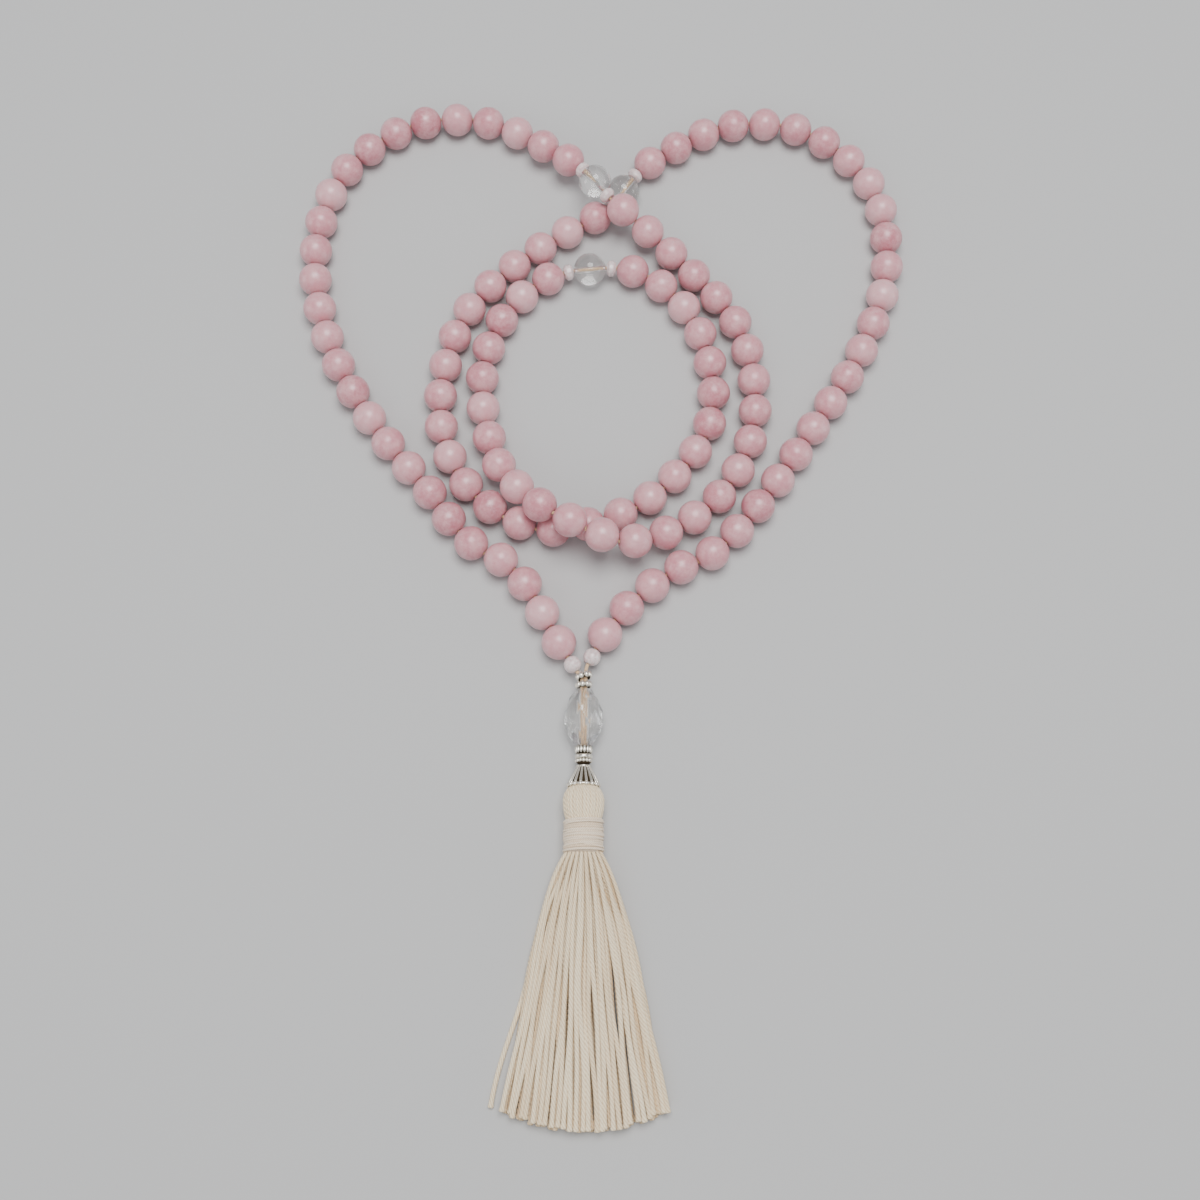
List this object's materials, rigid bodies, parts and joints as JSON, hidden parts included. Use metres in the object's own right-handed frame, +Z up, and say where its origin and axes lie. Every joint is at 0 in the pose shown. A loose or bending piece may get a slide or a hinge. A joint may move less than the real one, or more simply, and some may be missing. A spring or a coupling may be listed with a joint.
{
  "type": "mala prayer beads",
  "caption": "String of round polished beads with clear markers, a faceted drop, silver findings and a cotton tassel, laid out as a heart-shaped coil.",
  "frame": {"origin": "on the surface the beads lie on, under the middle of the whole layout", "axes": "+Z up from the surface, +Y along the pendant from the tassel towards the lobes, +X to the right seen from above"},
  "size_m": [0.1498, 0.248, 0.0158],
  "materials": {
    "rose_quartz": "polished, softly translucent rose quartz",
    "clear_quartz": "polished clear rock crystal",
    "milky_quartz": "polished milky pink quartz",
    "antique_silver": "antiqued silver with dark recesses",
    "cotton": "two-ply twisted cream cotton thread",
    "tan_thread": "fine wound tan thread",
    "salmon_thread": "waxed rose-beige stringing thread"
  },
  "bodies": {
    "outer_coil": {"outer_coil_beads_right_upper": "rose_quartz", "outer_coil_beads_right_lower": "rose_quartz", "outer_coil_beads_over": "rose_quartz", "outer_coil_beads_under": "rose_quartz", "outer_coil_beads_left_lower": "rose_quartz", "outer_coil_beads_left_upper": "rose_quartz", "outer_coil_thread_over": "salmon_thread", "outer_coil_thread_under": "salmon_thread", "knot_thread": "salmon_thread"},
    "left_lobe": {"left_lobe_beads_lower": "rose_quartz", "left_lobe_beads_middle": "rose_quartz", "left_lobe_beads_upper": "rose_quartz", "left_lobe_thread": "salmon_thread"},
    "right_lobe": {"right_lobe_beads_lower": "rose_quartz", "right_lobe_beads_middle": "rose_quartz", "right_lobe_beads_upper": "rose_quartz", "right_lobe_thread": "salmon_thread"},
    "inner_coil": {"inner_coil_beads_left": "rose_quartz", "inner_coil_beads_right": "rose_quartz", "inner_coil_thread": "salmon_thread"},
    "upper_daisy": {"upper_daisy": "antique_silver", "daisy_thread": "salmon_thread"},
    "pendant": {"pendant_thread": "salmon_thread"},
    "tassel": {"tassel_cap": "antique_silver", "tassel_head": "cotton", "neck_wrap": "tan_thread", "tassel_knot": "salmon_thread", "tassel_thread": "salmon_thread"},
    "skirt": {"tassel_skirt": "cotton"},
    "marker_left": {"marker_left": "clear_quartz"},
    "marker_right": {"marker_right": "clear_quartz"},
    "marker_inner": {"marker_inner": "clear_quartz"},
    "spacer_left_outer": {"spacer_left_outer": "milky_quartz"},
    "spacer_left_inner": {"spacer_left_inner": "milky_quartz"},
    "spacer_inner_left": {"spacer_inner_left": "milky_quartz"},
    "spacer_inner_right": {"spacer_inner_right": "milky_quartz"},
    "spacer_right_inner": {"spacer_right_inner": "milky_quartz"},
    "spacer_right_outer": {"spacer_right_outer": "milky_quartz"},
    "small_round_left": {"small_round_left": "milky_quartz"},
    "small_round_right": {"small_round_right": "milky_quartz"},
    "lower_daisy": {"lower_daisy": "antique_silver"},
    "clear_oval": {"clear_oval": "clear_quartz"},
    "ribbed_daisy": {"ribbed_daisy": "antique_silver"},
    "double_bead": {"double_bead": "antique_silver"}
  },
  "joints": [
    {"name": "left_lobe_lift", "type": "hinge", "parent": "outer_coil", "child": "left_lobe", "pos_m": [-0.01013, -0.01879, 0.004], "axis": [0.0127, 0.9997, 0.0199], "range_deg": [0, 75]},
    {"name": "right_lobe_lift", "type": "hinge", "parent": "outer_coil", "child": "right_lobe", "pos_m": [0.00038, -0.01693, 0.004], "axis": [-0.0938, -0.9956, 0], "range_deg": [0, 75]},
    {"name": "inner_coil_lift", "type": "hinge", "parent": "outer_coil", "child": "inner_coil", "pos_m": [-0.02699, 0.03146, 0.00481], "axis": [0.9978, -0.0642, -0.0164], "range_deg": [0, 60]},
    {"name": "pendant_swing", "type": "hinge", "parent": "outer_coil", "child": "upper_daisy", "pos_m": [-0.00445, -0.0262, 0.0046], "axis": [0, 0, 1], "range_deg": [-25, 25]},
    {"name": "pendant_lift", "type": "hinge", "parent": "upper_daisy", "child": "pendant", "pos_m": [-0.00445, -0.02821, 0.0066], "axis": [-1, 0, 0], "range_deg": [0, 75]},
    {"name": "tassel_lift", "type": "hinge", "parent": "pendant", "child": "tassel", "pos_m": [-0.00445, -0.04719, 0.0066], "axis": [-1, 0, 0], "range_deg": [0, 45]},
    {"name": "skirt_lift", "type": "hinge", "parent": "tassel", "child": "skirt", "pos_m": [-0.00445, -0.07039, 0.0046], "axis": [-1, 0, 0], "range_deg": [0, 30]},
    {"name": "marker_left_spin", "type": "hinge", "parent": "outer_coil", "child": "marker_left", "pos_m": [-0.00181, 0.09873, 0.00907], "axis": [0.5654, -0.7999, 0.2011], "continuous": true},
    {"name": "marker_right_spin", "type": "hinge", "parent": "outer_coil", "child": "marker_right", "pos_m": [0.00535, 0.09928, 0.004], "axis": [0.5548, 0.832, 0], "continuous": true},
    {"name": "marker_inner_spin", "type": "hinge", "parent": "inner_coil", "child": "marker_inner", "pos_m": [-0.0031, 0.07699, 0.004], "axis": [0.9943, 0.1062, 0], "continuous": true},
    {"name": "spacer_left_outer_spin", "type": "hinge", "parent": "outer_coil", "child": "spacer_left_outer", "pos_m": [-0.00487, 0.10285, 0.00765], "axis": [0.6327, -0.7355, 0.2423], "continuous": true},
    {"name": "spacer_left_inner_spin", "type": "hinge", "parent": "outer_coil", "child": "spacer_left_inner", "pos_m": [0.00114, 0.09434, 0.00979], "axis": [0.6652, -0.7442, -0.0599], "continuous": true},
    {"name": "spacer_inner_left_spin", "type": "hinge", "parent": "inner_coil", "child": "spacer_inner_left", "pos_m": [-0.00836, 0.07611, 0.004], "axis": [0.9674, 0.2532, 0], "continuous": true},
    {"name": "spacer_inner_right_spin", "type": "hinge", "parent": "inner_coil", "child": "spacer_inner_right", "pos_m": [0.00222, 0.07724, 0.004], "axis": [0.9989, -0.046, 0], "continuous": true},
    {"name": "spacer_right_inner_spin", "type": "hinge", "parent": "outer_coil", "child": "spacer_right_inner", "pos_m": [0.00237, 0.09486, 0.004], "axis": [0.6758, 0.7371, 0], "continuous": true},
    {"name": "spacer_right_outer_spin", "type": "hinge", "parent": "outer_coil", "child": "spacer_right_outer", "pos_m": [0.00829, 0.10373, 0.004], "axis": [0.6366, 0.7712, 0], "continuous": true},
    {"name": "small_round_left_spin", "type": "hinge", "parent": "outer_coil", "child": "small_round_left", "pos_m": [-0.007, -0.024, 0.004], "axis": [-0.5142, 0.8577, 0], "continuous": true},
    {"name": "small_round_right_spin", "type": "hinge", "parent": "outer_coil", "child": "small_round_right", "pos_m": [-0.00259, -0.02224, 0.004], "axis": [-0.4884, -0.8726, 0], "continuous": true},
    {"name": "lower_daisy_spin", "type": "hinge", "parent": "pendant", "child": "lower_daisy", "pos_m": [-0.00445, -0.02905, 0.0046], "axis": [0, -1, 0], "continuous": true},
    {"name": "clear_oval_spin", "type": "hinge", "parent": "pendant", "child": "clear_oval", "pos_m": [-0.00445, -0.03634, 0.0046], "axis": [0, -1, 0], "continuous": true},
    {"name": "ribbed_daisy_spin", "type": "hinge", "parent": "pendant", "child": "ribbed_daisy", "pos_m": [-0.00445, -0.04376, 0.0046], "axis": [0, -1, 0], "continuous": true},
    {"name": "double_bead_spin", "type": "hinge", "parent": "pendant", "child": "double_bead", "pos_m": [-0.00445, -0.04596, 0.0046], "axis": [0, -1, 0], "continuous": true}
  ]
}
